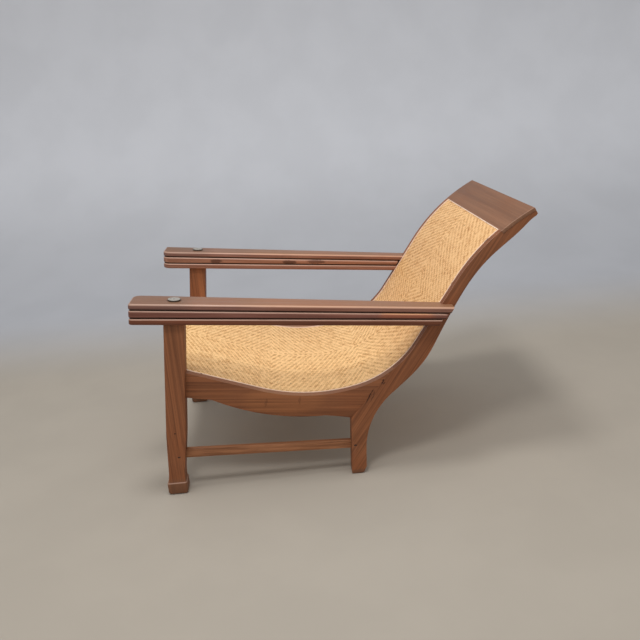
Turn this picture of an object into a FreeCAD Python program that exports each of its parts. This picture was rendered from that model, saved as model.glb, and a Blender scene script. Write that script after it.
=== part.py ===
"""Planter's chair: raked side frames, a woven sling seat and swing-out leg rests in the arms.

Modelled in millimetres with Y to the rear and Z up. While the pieces are built, y = 0 is the
line through the tops of the two pivot screws. At the end the whole chair is slid along Y,
so that its origin lies under the middle of its footprint.
"""
import FreeCAD, Part
import Sketcher
import math
import os
from FreeCAD import Placement, Rotation, Vector

# Driving sizes, in millimetres and degrees
SIZES = {
    # Layout of the two side frames
    "pivot_spacing": 660.0,
    "arm_height": 583.0,
    "post_lean_angle": 6.25,
    # Arms, each of three layers on one pivot screw; the middle one thins towards its tip
    "arm_slope_angle": 6.04,
    "board_thickness": 16.8,
    "leg_rest_nose_thickness": 21.2,
    "leg_rest_tip_thickness": 15.8,
    "under_rail_thickness": 17.4,
    "layer_gap": 1.9,
    "arm_nose": 118,
    "arm_inner_front": 48.0,
    "arm_outer_front": 44.0,
    "arm_inner_rear": 30.0,
    "arm_outer_rear": 27.0,
    "board_reach": 772.0,
    "leg_rest_reach": 758,
    "under_rail_reach": 742.0,
    "arm_end_angle": 65.0,
    "nose_inner_round": 24,
    "nose_outer_round": 9,
    "notch_ahead": 6.0,
    "notch_beside": 1.2,
    # Pivot screws and washers
    "screw_diameter": 10.0,
    "screw_reach": 120.0,
    "screw_head_diameter": 35,
    "screw_head_thickness": 4.4,
    "washer_play": 0.4,
    "washer_diameter": 30.0,
    "running_clearance": 0.08,
    "washer_clearance": 0.12,
    # Front posts
    "post_width": 54.5,
    "post_depth": 56,
    "post_corner_round": 3.0,
    "shoulder_height": 190.0,
    "ankle_height": 69,
    "ankle_side": 47.0,
    "foot_width": 53,
    "foot_depth": 57.5,
    "foot_height": 38.5,
    "foot_bevel": 2.5,
    "foot_round": 8.5,
    "foot_corner_round": 7.0,
    # Seat line, seen from the side, from the front rail up to the head
    "seat_front": 47.8,
    "seat_front_height": 388.5,
    "seat_slope_angle": 20.2,
    "thigh_run": 269.2,
    "dip_radius": 509.8,
    "dip_angle": 31.86,
    "hip_radius": 287.8,
    "hip_angle": 44.0,
    "back_run": 206.3,
    "head_radius": 578.9,
    "head_angle": 27.36,
    "head_run": 19.5,
    # Side rails
    "rail_thickness": 40.0,
    "rail_front_inset": 24.25,
    "rail_front_depth": 74.5,
    "rail_neck_depth": 65.6,
    "rail_rear_depth": 91.5,
    "rim_width": 22.5,
    # Stiles: rear leg and back upright in one piece
    "stile_thickness": 44.0,
    "stile_foot_spread": 333.5,
    "stile_inward_angle": 1.1,
    "leg_setback": -19.9,
    "leg_rake_angle": 2.5,
    "leg_depth": 43.9,
    "heel_height": 83.2,
    "heel_radius": 227.2,
    "heel_angle": 46.8,
    "heel_wear": 9.5,
    "heel_wear_height": 22,
    "upright_depth": 49.0,
    "top_round": 6.0,
    # Head panel
    "panel_thickness": 10.0,
    "panel_height": 109,
    "panel_overhang": 2,
    # Seat mat and its edge beads
    "mat_thickness": 3.6,
    "rebate_depth": 4.0,
    "bead_width": 3.0,
    "bead_rise": 0.8,
    "mat_clearance": 0.3,
    # Cross rails
    "front_rail_inset": 2.0,
    "front_rail_thickness": 28.0,
    "front_rail_height": 62.0,
    "back_rail_thickness": 25.0,
    "back_rail_height": 45.0,
    "back_rail_drop": 52.0,
    "back_rail_setback": 45.0,
    # Side stretchers
    "stretcher_thickness": 14.5,
    "stretcher_front_height": 26.5,
    "stretcher_rear_height": 25,
    "stretcher_front_level": 121.6,
    "stretcher_rear_level": 92.2,
    "peg_diameter": 9.0,
    "peg_length": 34.0,
    # Tenons
    "tenon_length": 26.0,
    "tenon_shoulder": 7.0,
    # How far cutting shapes run past what they cut
    "overrun": 20.0,
}

# Depth of the stile behind the seat line, as shares of upright_depth, at shares of the
# way from the scarf's upper end to the top of the seat line
STILE_DEPTH_SHARES = (
    (0.13, 1.00),
    (0.27, 0.86),
    (0.42, 0.72),
    (0.55, 0.68),
    (0.71, 0.71),
    (0.82, 0.75),
    (0.91, 0.65),
)
STILE_TOP_SHARE = 0.48
# Places along the side rail's underside, as shares of the way from post to leg
RAIL_LOBE_SHARE = 0.14
RAIL_CUSP_SHARE = 0.835
# Part of the hip turn that the scarf's upper end lies at
SCARF_HIP_SHARE = 0.55
# Steps of the quarter rounds of the post's foot and ankle
QUARTER_SHARES = (0.0, 0.5, 1.0)

SIDE_VIEW = Rotation(Vector(1, 1, 1), 120)
FRONT_VIEW = Rotation(Vector(1, 0, 0), 90)
PLAN_VIEW = Rotation()

doc = FreeCAD.newDocument("planters_chair")
sheet = doc.addObject("Spreadsheet::Sheet", "Sizes")
for row, (alias, value) in enumerate(SIZES.items(), start=1):
    sheet.set(f"A{row}", alias)
    sheet.set(f"B{row}", str(value))
    sheet.setAlias(f"B{row}", alias)
doc.recompute()

pieces = {}


def size(alias):
    """Value of a named size, as a plain number."""
    return float(sheet.get(alias))


def bind(feature, **expressions):
    """Tie properties of a feature to expressions of the named sizes."""
    for name, expression in expressions.items():
        feature.setExpression(name, expression)
    return feature


def piece(label, feature):
    """Give a finished sub-part its own label."""
    feature.Label = label
    pieces[label] = feature
    return feature


# Curves and sketches

def lines(*corners, closed=True):
    """Straight edges through two-value corners."""
    ends = [Vector(*corner) for corner in corners]
    followers = ends[1:] + (ends[:1] if closed else [])
    return [Part.LineSegment(start, end) for start, end in zip(ends, followers)]


def arc(start, middle, end):
    return Part.Arc(Vector(*start), Vector(*middle), Vector(*end))


class Track:
    """A line of straight runs and tangent arcs, walked from its start by distance."""

    def __init__(self, start, heading, runs):
        self.start = start
        self.heading = heading
        self.runs = runs
        self.length = sum(length for length, turn in runs)

    def at(self, distance):
        """Place and heading at a distance from the start."""
        (across, up), heading = self.start, self.heading
        for number, (length, turn) in enumerate(self.runs):
            last = number == len(self.runs) - 1
            part = distance if last else min(distance, length)
            step, bend = part, turn * part / length
            if turn:
                step = 2 * length / turn * math.sin(bend / 2)
            across += step * math.cos(heading + bend / 2)
            up += step * math.sin(heading + bend / 2)
            heading += bend
            distance -= part
            if distance <= 0:
                break
        return (across, up), heading

    def off(self, distance, below):
        """Place at a distance from the start and square below the line."""
        (across, up), heading = self.at(distance)
        return (across + below * math.sin(heading), up - below * math.cos(heading))

    def edges(self, first, last, below=0.0):
        """Curves from one distance to another, square below the line."""
        stops = [first]
        travelled = 0.0
        for length, turn in self.runs:
            travelled += length
            if first < travelled < last:
                stops.append(travelled)
        stops.append(last)
        curves = []
        for start, end in zip(stops, stops[1:]):
            ends = self.off(start, below), self.off(end, below)
            middle = self.off((start + end) / 2, below)
            straight = abs(self.at(end)[1] - self.at(start)[1]) < math.radians(0.001)
            curves += lines(*ends, closed=False) if straight else [arc(ends[0], middle, ends[1])]
        return curves


def sketch(name, rotation, curves, body=None, plane=None):
    """A sketch of closed curves, free or on an origin plane of a body."""
    if body is None:
        drawn = doc.addObject("Sketcher::SketchObject", name)
        drawn.Placement = Placement(Vector(), rotation)
    else:
        drawn = body.newObject("Sketcher::SketchObject", name)
        base = next(part for part in body.Origin.OriginFeatures if part.Role == plane)
        drawn.AttachmentSupport = [(base, "")]
        drawn.MapMode = "FlatFace"
    drawn.addGeometry(curves, False)
    return drawn


def prism(name, rotation, curves, length="4 * Sizes.pivot_spacing"):
    """A sketch extruded to both sides of its plane."""
    solid = doc.addObject("Part::Extrusion", name)
    solid.Base = sketch(name + "_outline", rotation, curves)
    solid.DirMode = "Normal"
    solid.Symmetric = True
    solid.Solid = True
    return bind(solid, LengthFwd=length)


def common(name, first, second):
    shared = doc.addObject("Part::MultiCommon", name)
    shared.Shapes = [first, second]
    return shared


def fuse(name, *shapes):
    whole = doc.addObject("Part::MultiFuse", name)
    whole.Shapes = list(shapes)
    whole.Refine = True
    return whole


def cut(name, base, *tools):
    """Cut each tool in turn from the base; the last cut has the given name."""
    for number, tool in enumerate(tools, start=1):
        last = number == len(tools)
        left = doc.addObject("Part::Cut", name if last else f"{name}_cut_{number}")
        left.Base = base
        left.Tool = tool
        base = left
    return base


def compound(name, *links):
    group = doc.addObject("Part::Compound", name)
    group.Links = list(links)
    return group


def mirrored(name, source):
    """The same piece on the other side of the chair."""
    other = doc.addObject("Part::Mirroring", name)
    other.Source = source
    other.Base = Vector()
    other.Normal = Vector(1, 0, 0)
    return other


# Lines and planes that several pieces share

lean = math.radians(size("post_lean_angle"))
splay = -math.tan(math.radians(size("stile_inward_angle")))
overrun = size("overrun")
pivot_across = size("pivot_spacing") / 2

seat = Track(
    (-size("seat_front"), size("seat_front_height")),
    -math.radians(size("seat_slope_angle")),
    [
        (size("thigh_run"), 0.0),
        (size("dip_radius") * math.radians(size("dip_angle")), math.radians(size("dip_angle"))),
        (size("hip_radius") * math.radians(size("hip_angle")), math.radians(size("hip_angle"))),
        (size("back_run"), 0.0),
        (size("head_radius") * math.radians(size("head_angle")), -math.radians(size("head_angle"))),
        (size("head_run"), 0.0),
    ],
)
dip_end, hip_end, back_end = (
    sum(length for length, turn in seat.runs[:count]) for count in (2, 3, 4))
scarf_top = dip_end + SCARF_HIP_SHARE * (hip_end - dip_end)
panel_start = seat.length - size("panel_height")


def post_centre(height):
    """Y of the front post's middle line, upright through the foot."""
    return -(size("arm_height") - max(height, size("foot_height"))) * math.tan(lean)


def post_rear(height):
    return post_centre(height) + size("post_depth") / 2


def seat_distance(across):
    """Distance along the straight front of the seat line at a given Y."""
    return (across + size("seat_front")) / math.cos(seat.heading)


# The seat line crosses the back of the post where both agree
post_gap = post_rear(size("seat_front_height")) + size("seat_front")
rail_front = post_gap / (1 - math.tan(seat.heading) * math.tan(lean)) / math.cos(seat.heading)
rail_front_place = seat.at(rail_front)[0]

leg_front = seat.at(dip_end)[0][0] + size("leg_setback")
scarf_foot = (leg_front, seat.at(dip_end)[0][1] - size("rail_rear_depth"))
rake = math.radians(size("leg_rake_angle"))
scarf_head = seat.at(scarf_top)[0]


def leg_face(height):
    """Y of the rear leg's front face, which rakes back as it rises."""
    return leg_front - (scarf_foot[1] - height) * math.tan(rake)


# The rails toe in a little from the posts to the stiles, which lean inwards as they rise
rail_front_spread = pivot_across + size("post_width") / 2 - size("rail_front_inset")
join = seat.at((dip_end + scarf_top) / 2)[0]
join_spread = size("stile_foot_spread") + splay * join[1]
toe_in = (rail_front_spread - join_spread) / (join[0] - rail_front_place[0])
far_back = seat.at(seat.length)[0][0] + size("panel_height")
far_up = seat.at(seat.length)[0][1] + size("panel_height")
far_front = -size("arm_nose") - size("foot_depth")


def rail_spread(across, inset):
    """Half width between the rails' outer faces, less an inset, at a given Y."""
    return rail_front_spread - inset - toe_in * (across - rail_front_place[0])


def stile_spread(height, inset):
    """Half width between the stiles' outer faces, less an inset, at a given Z."""
    return size("stile_foot_spread") - inset + splay * height


def between_rails(name, inset):
    """All that lies between the rails' planes, in front of the join."""
    near, far = rail_spread(far_front, inset), rail_spread(join[0], inset)
    plan = lines((-near, far_front), (near, far_front), (far, join[0]), (-far, join[0]))
    return prism(name, PLAN_VIEW, plan)


def between_stiles(name, inset, front=None):
    """All that lies between the stiles' planes, behind the join unless told otherwise."""
    low, high = stile_spread(0.0, inset), stile_spread(far_up, inset)
    view = lines((-low, 0.0), (low, 0.0), (high, far_up), (-high, far_up))
    whole = prism(name + "_whole", FRONT_VIEW, view)
    front = join[0] if front is None else front
    behind = lines((front, 0.0), (far_back, 0.0), (far_back, far_up), (front, far_up))
    return common(name, whole, prism(name + "_side", SIDE_VIEW, behind))


def seat_width(name, inset):
    """All that lies over the seat, between the planes of rails and stiles."""
    return fuse(name, between_rails(name + "_front", inset), between_stiles(name + "_rear", inset))


def seat_band(name, first, last, above, below):
    """A band along the seat line across the whole chair, between two offsets from the line."""
    outline = seat.edges(first, last, -above)
    outline += lines(seat.off(last, -above), seat.off(last, below), closed=False)
    outline += seat.edges(first, last, below)
    outline += lines(seat.off(first, below), seat.off(first, -above), closed=False)
    return prism(name, SIDE_VIEW, outline)


def left_half(name, shape):
    """The part of a shape on the sitter's left."""
    side = lines((0.0, far_front), (2 * pivot_across, far_front), (2 * pivot_across, far_back),
                 (0.0, far_back))
    return common(name, shape, prism(name + "_half", PLAN_VIEW, side))


# Front posts: square and tapered, on a flared foot block, leaning back to the pivot screw

def post_section(number, height, width, depth, radius):
    """One level section of the post, with rounded corners."""
    across, along = width / 2, depth / 2
    curves = []
    for turn in range(4):
        half, other = (across, along) if turn % 2 == 0 else (along, across)
        spin = Rotation(Vector(0, 0, 1), 90 * turn)
        centre = Vector(half - radius, other - radius, 0)
        corner = [centre + radius * Vector(math.cos(a), math.sin(a), 0)
                  for a in (0.0, math.pi / 4, math.pi / 2)]
        before = Vector(half, radius - other, 0)
        curves.append(Part.LineSegment(spin.multVec(before), spin.multVec(corner[0])))
        curves.append(Part.Arc(*(spin.multVec(point) for point in corner)))
    drawn = sketch(f"post_section_{number}", PLAN_VIEW, curves)
    drawn.Placement.Base = Vector(pivot_across, post_centre(height), height)
    return drawn


def post_levels():
    """Height, width, depth and corner radius of the post's sections, from the floor up."""
    foot = Vector(size("foot_width"), size("foot_depth"))
    ankle = Vector(size("ankle_side"), size("ankle_side"))
    corner, foot_corner = size("post_corner_round"), size("foot_corner_round")
    levels = []
    for share in QUARTER_SHARES:
        inset = size("foot_round") * (1 - math.sin(share * math.pi / 2))
        rise = size("foot_round") * (1 - math.cos(share * math.pi / 2))
        levels.append((rise, foot.x - 2 * inset, foot.y - 2 * inset, foot_corner))
    bevel = size("foot_bevel")
    levels.append((size("foot_height") - bevel, foot.x, foot.y, foot_corner))
    flare = foot - ankle - 2 * Vector(bevel, bevel)
    for share in QUARTER_SHARES:
        angle = share * math.pi / 2
        height = (size("ankle_height") - size("foot_height")) * (1 - math.cos(angle))
        section = ankle + (1 - math.sin(angle)) * flare
        radius = corner + (1 - math.sin(angle)) * (foot_corner - bevel - corner)
        levels.append((size("foot_height") + height, section.x, section.y, radius))
    for height in (size("shoulder_height"), size("arm_height")):
        levels.append((height, size("post_width"), size("post_depth"), corner))
    return levels


arm_place = Placement(Vector(pivot_across, 0, size("arm_height")),
                      Rotation(Vector(1, 0, 0), -size("arm_slope_angle")))
arm_run = size("board_reach") + size("arm_nose")
rest_thinning = (size("leg_rest_nose_thickness") - size("leg_rest_tip_thickness")) / arm_run
rest_at_pivot = size("leg_rest_nose_thickness") - rest_thinning * size("arm_nose")
rest_depth = size("board_thickness") + size("layer_gap")
under_depth = rest_depth + rest_at_pivot + size("layer_gap")
under_tilt = Rotation(Vector(1, 0, 0), math.degrees(math.atan(rest_thinning)))
rest_place = arm_place * Placement(Vector(0, 0, -rest_depth), Rotation())
under_place = arm_place * Placement(Vector(0, 0, -under_depth), under_tilt)
post_top_place = under_place * Placement(Vector(0, 0, -size("under_rail_thickness")), Rotation())

post_loft = doc.addObject("Part::Loft", "post_loft")
post_loft.Sections = [post_section(number, *level) for number, level in enumerate(post_levels())]
post_loft.Solid = True
post_loft.Ruled = True
under_arm = doc.addObject("Part::Box", "under_arm")
bind(under_arm, Length="4 * Sizes.post_width", Width="4 * Sizes.post_depth",
     Height="Sizes.arm_height")
under_arm.Placement = post_top_place * Placement(
    Vector(-2 * size("post_width"), -2 * size("post_depth"), 0), Rotation())
post_blank = cut("post_blank", post_loft, under_arm)

# Stiles: rear leg and back upright, sawn from one plank

heel = Track(
    (leg_face(size("heel_height")) + size("leg_depth"), size("heel_height")),
    math.pi / 2 - rake,
    [(size("heel_radius") * math.radians(size("heel_angle")), -math.radians(size("heel_angle")))],
)


def stile_outline():
    """Side view of the stile, up the front and down the back."""
    wear, worn = size("heel_wear"), size("heel_wear_height")
    panel = size("panel_thickness")
    top, rounding = seat.length, size("top_round")
    curves = lines((leg_face(0.0), 0.0), scarf_foot, scarf_head, closed=False)
    curves += seat.edges(scarf_top, panel_start)
    curves += lines(seat.at(panel_start)[0], seat.off(panel_start, panel), closed=False)
    curves += seat.edges(panel_start, top, panel)
    depth = STILE_TOP_SHARE * size("upright_depth")
    curves += lines(seat.off(top, panel), seat.off(top, depth - rounding / 2), closed=False)
    back = [seat.off(top, depth - rounding / 2), seat.off(top - rounding, depth)]
    for share, part in reversed(STILE_DEPTH_SHARES):
        distance = scarf_top + share * (top - scarf_top)
        back.append(seat.off(distance, part * size("upright_depth")))
    back.append(heel.at(heel.length)[0])
    curves += lines(*back[:2], closed=False)
    spline = Part.BSplineCurve()
    heel_heading = heel.at(heel.length)[1]
    top_heading = seat.at(top)[1]
    spline.interpolate(
        Points=[Vector(*point) for point in back[1:]],
        InitialTangent=Vector(-math.cos(top_heading), -math.sin(top_heading), 0),
        FinalTangent=Vector(-math.cos(heel_heading), -math.sin(heel_heading), 0))
    curves.append(spline)
    middle = heel.at(heel.length / 2)[0]
    curves.append(arc(back[-1], middle, heel.start))
    leg_rear = leg_face(0.0) + size("leg_depth")
    curves += lines(heel.start, (leg_rear + worn * math.tan(rake), worn), (leg_rear - wear, 0.0),
                    (leg_face(0.0), 0.0), closed=False)
    return curves


def stile_plank():
    """Both faces of the left stile's plank, seen from the front."""
    outer = [stile_spread(height, 0.0) for height in (-overrun, far_up)]
    inner = [stile_spread(height, size("stile_thickness")) for height in (-overrun, far_up)]
    return lines((inner[0], -overrun), (outer[0], -overrun), (outer[1], far_up),
                 (inner[1], far_up))


rebate_inset = size("rim_width")
rebate = common(
    "rebate",
    seat_band("rebate_band", -overrun, panel_start, overrun, size("rebate_depth")),
    seat_width("rebate_width", rebate_inset))
stile_blank = cut(
    "stile_blank",
    common("stile_sawn", prism("stile_side", SIDE_VIEW, stile_outline()),
           prism("stile_front", FRONT_VIEW, stile_plank())),
    rebate)

# Side rails: shaped below, scarfed to the stile and tenoned into the post

def below_seat(across, depth):
    """Place straight below the seat line between post and leg, at a given Y."""
    low, high = 0.0, hip_end
    for _ in range(60):
        middle = (low + high) / 2
        low, high = (middle, high) if seat.at(middle)[0][0] < across else (low, middle)
    return (across, seat.at(low)[0][1] - depth)


def rail_outline():
    """Side view of the rail, along the seat line and back along its shaped underside."""
    front, neck, rear = (size(name) for name in (
        "rail_front_depth", "rail_neck_depth", "rail_rear_depth"))
    run = leg_front - rail_front_place[0]
    lobe, cusp = (rail_front_place[0] + share * run for share in (RAIL_LOBE_SHARE, RAIL_CUSP_SHARE))
    corner = below_seat(rail_front_place[0], front)
    corner = (post_rear(corner[1]), corner[1])
    lobe_end, cusp_end = below_seat(lobe, neck), below_seat(cusp, neck)
    lobe_middle = below_seat((corner[0] + lobe) / 2, (front + neck) / 2 + (front - neck) / 8)
    belly = below_seat((lobe + cusp) / 2, neck + (front - neck) / 2)
    rear_middle = below_seat((cusp + leg_front) / 2, neck + (rear - neck) / 3)
    curves = seat.edges(rail_front, scarf_top)
    curves += lines(scarf_head, scarf_foot, closed=False)
    curves.append(arc(scarf_foot, rear_middle, cusp_end))
    curves.append(arc(cusp_end, belly, lobe_end))
    curves.append(arc(lobe_end, lobe_middle, corner))
    curves += lines(corner, rail_front_place, closed=False)
    return curves


def rail_plank(first, last, outer_inset, inner_inset):
    """Both faces of the left rail or its tenon in plan."""
    return lines((rail_spread(first, inner_inset), first), (rail_spread(first, outer_inset), first),
                 (rail_spread(last, outer_inset), last), (rail_spread(last, inner_inset), last))


rail_blank = cut(
    "rail_blank",
    common("rail_sawn", prism("rail_side", SIDE_VIEW, rail_outline()),
           prism("rail_plan", PLAN_VIEW,
                 rail_plank(far_front, far_back, 0.0, size("rail_thickness")))),
    rebate)

shoulder = size("tenon_shoulder")
tenon_back = rail_front_place[0] + size("tenon_length")
tenon_front = rail_front_place[0] - size("tenon_length")
rail_tenon_side = lines(
    below_seat(tenon_back, 2 * shoulder), below_seat(tenon_front, 2 * shoulder),
    below_seat(tenon_front, size("rail_neck_depth") - shoulder),
    below_seat(tenon_back, size("rail_neck_depth") - shoulder))
rail_tenon = common(
    "rail_tenon", prism("rail_tenon_side", SIDE_VIEW, rail_tenon_side),
    prism("rail_tenon_plan", PLAN_VIEW, rail_plank(
        far_front, far_back, 2 * shoulder, size("rail_thickness") - 2 * shoulder)))
piece("side_rail_left", fuse("rail_left", rail_blank, rail_tenon))

# Front seat rail between the posts, and back cross rail between the stiles

rail_face = -size("seat_front") + size("front_rail_inset")
rail_back = rail_face + size("front_rail_thickness")
rebate_floor = size("rebate_depth") / math.cos(seat.heading)


def rail_top(across):
    return seat.at(seat_distance(across))[0][1] - rebate_floor


def span_box(name, half_length, y_low, y_high, z_low, z_high):
    """A bar across the chair, of a given half length."""
    side = lines((y_low, z_low), (y_high, z_low), (y_high, z_high), (y_low, z_high))
    bar = prism(name, SIDE_VIEW, side)
    bar.setExpression("LengthFwd", None)
    bar.LengthFwd = 2 * half_length
    return bar


front_rail_low = rail_top(rail_face) - size("front_rail_height")
inner_post = pivot_across - size("post_width") / 2
front_side = lines((rail_face, front_rail_low), (rail_back, front_rail_low),
                   (rail_back, rail_top(rail_back)), (rail_face, rail_top(rail_face)))
front_body = prism("front_rail_body", SIDE_VIEW, front_side,
                   "Sizes.pivot_spacing - Sizes.post_width")
front_tenon = span_box("front_tenon", inner_post + size("tenon_length"), rail_face + shoulder,
                       rail_back - shoulder, front_rail_low + shoulder,
                       rail_top(rail_back) - shoulder)
piece("front_seat_rail", fuse("front_rail", front_body, front_tenon))

back_face = leg_front + size("back_rail_setback")
back_high = below_seat(back_face, size("back_rail_drop"))[1]
back_low = back_high - size("back_rail_height")
back_rear = back_face + size("back_rail_thickness")
back_side = lines((back_face, back_low), (back_rear, back_low), (back_rear, back_high),
                  (back_face, back_high))
back_body = common("back_rail_body", prism("back_rail_side", SIDE_VIEW, back_side),
                   between_stiles("back_rail_width", size("stile_thickness"), leg_front))
back_tenon = span_box(
    "back_tenon", stile_spread(back_low, size("stile_thickness")) + size("tenon_length"),
    back_face + shoulder, back_rear - shoulder, back_low + shoulder, back_high - shoulder)
piece("back_cross_rail", fuse("back_rail", back_body, back_tenon))

# Side stretchers: tapered bars from post to rear leg, tenoned and pegged

peg_front = post_centre(size("stretcher_front_level"))
stretcher_end = leg_face(size("stretcher_rear_level"))
peg_rear = stretcher_end + size("leg_depth") / 4


def stretcher_bar(name, thickness, less, front, rear):
    """A bar on the stretcher's line between two Y places, its height cut by a given amount."""
    front_spread = pivot_across
    rear_spread = stile_spread(size("stretcher_rear_level"), size("stile_thickness") / 2)
    run = stretcher_end - post_rear(size("stretcher_front_level"))

    def along(across, first, last):
        return first + (last - first) * (across - stretcher_end + run) / run

    view, plan = [], []
    for across, side in ((front, 1), (rear, 1), (rear, -1), (front, -1)):
        level = along(across, size("stretcher_front_level"), size("stretcher_rear_level"))
        height = along(across, size("stretcher_front_height"), size("stretcher_rear_height"))
        view.append((across, level + side * (height - less) / 2))
        plan.append((along(across, front_spread, rear_spread) + side * thickness / 2, across))
    return common(name, prism(name + "_side", SIDE_VIEW, lines(*view)),
                  prism(name + "_plan", PLAN_VIEW, lines(*plan)))


stretcher_tenon = stretcher_bar(
    "stretcher_tenon", size("stretcher_thickness") - shoulder, shoulder,
    post_rear(size("stretcher_front_level")) - size("tenon_length") - shoulder,
    stretcher_end + size("tenon_length"))
stretcher_body = cut(
    "stretcher_body",
    stretcher_bar("stretcher_whole", size("stretcher_thickness"), 0.0, peg_front, peg_rear),
    post_blank, stile_blank)


def peg(name, across, level, spread):
    """A peg driven across a joint from the outer face."""
    pin = doc.addObject("Part::Cylinder", name)
    bind(pin, Radius="Sizes.peg_diameter / 2", Height="Sizes.peg_length")
    pin.Placement = Placement(Vector(spread, across, level), Rotation(Vector(0, 1, 0), -90))
    return pin


peg_front_level = size("stretcher_front_level")
peg_rear_level = size("stretcher_rear_level")
post_side = pivot_across + size("ankle_side") / 2 + (size("post_width") - size("ankle_side")) / 2 * (
    (peg_front_level - size("ankle_height")) / (size("shoulder_height") - size("ankle_height")))
front_peg = peg("front_peg", peg_front + size("stretcher_thickness") / 2, peg_front_level, post_side)
rear_peg = peg("rear_peg", peg_rear, peg_rear_level, stile_spread(peg_rear_level, 0.0))
pegs = compound("left_pegs", front_peg, rear_peg)
piece("side_stretcher_left", cut(
    "stretcher_left", fuse("stretcher_joined", stretcher_body, stretcher_tenon),
    front_peg, rear_peg))
piece("stretcher_pegs", compound("all_pegs", pegs, mirrored("right_pegs", pegs)))

# Arms: fixed board, swing-out leg rest and fixed under rail, notched round the stile

def arm_edge(along, front, rear):
    """Distance of an arm's edge from the pivot line, at a distance behind the pivot."""
    return front + (rear - front) * (along + size("arm_nose")) / arm_run


def edge_names(feature, wanted):
    return [f"Edge{number}" for number, edge in enumerate(feature.Shape.Edges, start=1)
            if wanted(edge)]


def rounded(body, name, base, edges, radius):
    fillet = body.newObject("PartDesign::Fillet", name)
    fillet.Base = (base, edges)
    bind(fillet, Radius=radius)
    doc.recompute()
    return fillet


def side_cut(body, name, outline):
    """Cut an outline in side view through the whole width of a body."""
    pocket = body.newObject("PartDesign::Pocket", name)
    pocket.Profile = sketch(name + "_outline", None, outline, body, "YZ_Plane")
    pocket.Type = "ThroughAll"
    pocket.Midplane = True
    doc.recompute()
    return pocket


def bored(body, name, radius):
    """A round hole on the pivot axis, right through a body."""
    hole = sketch(name + "_circle", None,
                  [Part.Circle(Vector(), Vector(0, 0, 1), size("screw_diameter"))], body, "XY_Plane")
    hole.addConstraint(Sketcher.Constraint("Coincident", 0, 3, -1, 1))
    hole.addConstraint(Sketcher.Constraint("Radius", 0, size("screw_diameter")))
    hole.setExpression("Constraints[1]", radius)
    pocket = body.newObject("PartDesign::Pocket", name)
    pocket.Profile = hole
    pocket.Type = "ThroughAll"
    pocket.Midplane = True
    doc.recompute()
    return pocket


def arm_layer(name, thickness, reach, place, thinning=0.0):
    """One layer of the left arm: a tapered plank with a rounded nose and raked rear end."""
    body = doc.addObject("PartDesign::Body", name)
    nose, end = -size("arm_nose"), reach + overrun
    inner = [-arm_edge(u, size("arm_inner_front"), size("arm_inner_rear")) for u in (nose, end)]
    outer = [arm_edge(u, size("arm_outer_front"), size("arm_outer_rear")) for u in (nose, end)]
    outline = lines((inner[0], nose), (outer[0], nose), (outer[1], end), (inner[1], end))
    last = body.newObject("PartDesign::Pad", name + "_pad")
    last.Profile = sketch(name + "_outline", None, outline, body, "XY_Plane")
    last.Reversed = True
    bind(last, Length="Sizes." + thickness)
    doc.recompute()

    deep = 2 * size(thickness)
    if thinning:
        low_nose = -size(thickness) - overrun * thinning
        low_end = -size(thickness) + (end + overrun - nose) * thinning
        wedge = lines((nose - overrun, low_nose), (end + overrun, low_end),
                      (end + overrun, -deep), (nose - overrun, -deep))
        last = side_cut(body, name + "_thinning", wedge)

    def upright_at(across):
        return lambda edge: all(
            abs(v.Point.y - nose) < 1e-6 and abs(v.Point.x - across) < 1e-6 for v in edge.Vertexes)

    last = rounded(body, name + "_inner_corner", last, edge_names(last, upright_at(inner[0])),
                   "Sizes.nose_inner_round")
    rounded(body, name + "_outer_corner", last, edge_names(last, upright_at(outer[0])),
            "Sizes.nose_outer_round")
    slant = size(thickness) / math.tan(math.radians(size("arm_end_angle")))
    side_cut(body, name + "_rake", lines(
        (reach + slant, size(thickness)), (end + overrun, size(thickness)),
        (end + overrun, -deep), (reach - 2 * slant, -deep)))
    body.Placement = place
    return body


def stile_shadow(name, ahead, beside):
    """The straight front of the stile and all behind it, grown by clearances."""
    low, high = (seat.off(distance, -ahead) for distance in (hip_end, back_end))
    side = lines(low, high, (far_back, high[1]), (far_back, low[1]))
    return common(name, prism(name + "_side", SIDE_VIEW, side),
                  between_stiles(name + "_width", -beside, leg_front))


fixed_notch = stile_shadow("fixed_notch", size("bead_rise"), 0.0)
swing_notch = stile_shadow("swing_notch", size("notch_ahead"), size("notch_beside"))
bore_radius = "Sizes.screw_diameter / 2 + Sizes.running_clearance"

board = arm_layer("board", "board_thickness", size("board_reach"), arm_place)
bored(board, "board_bore", bore_radius)
piece("arm_board_left", cut("board_left", board, fixed_notch))

rest = arm_layer("rest", "leg_rest_nose_thickness", size("leg_rest_reach"), rest_place,
                 rest_thinning)
bored(rest, "rest_bore", bore_radius)
piece("leg_rest_left", cut("rest_left", rest, swing_notch))

# Pivot screws and the washers between the layers

def on_pivot(name, radius, height, depth):
    """A cylinder on the pivot axis, from a depth below the arm's top upwards."""
    disc = doc.addObject("Part::Cylinder", name)
    bind(disc, Radius=radius, Height=height)
    disc.Placement = arm_place * Placement(Vector(0, 0, -depth), Rotation())
    return disc


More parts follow.
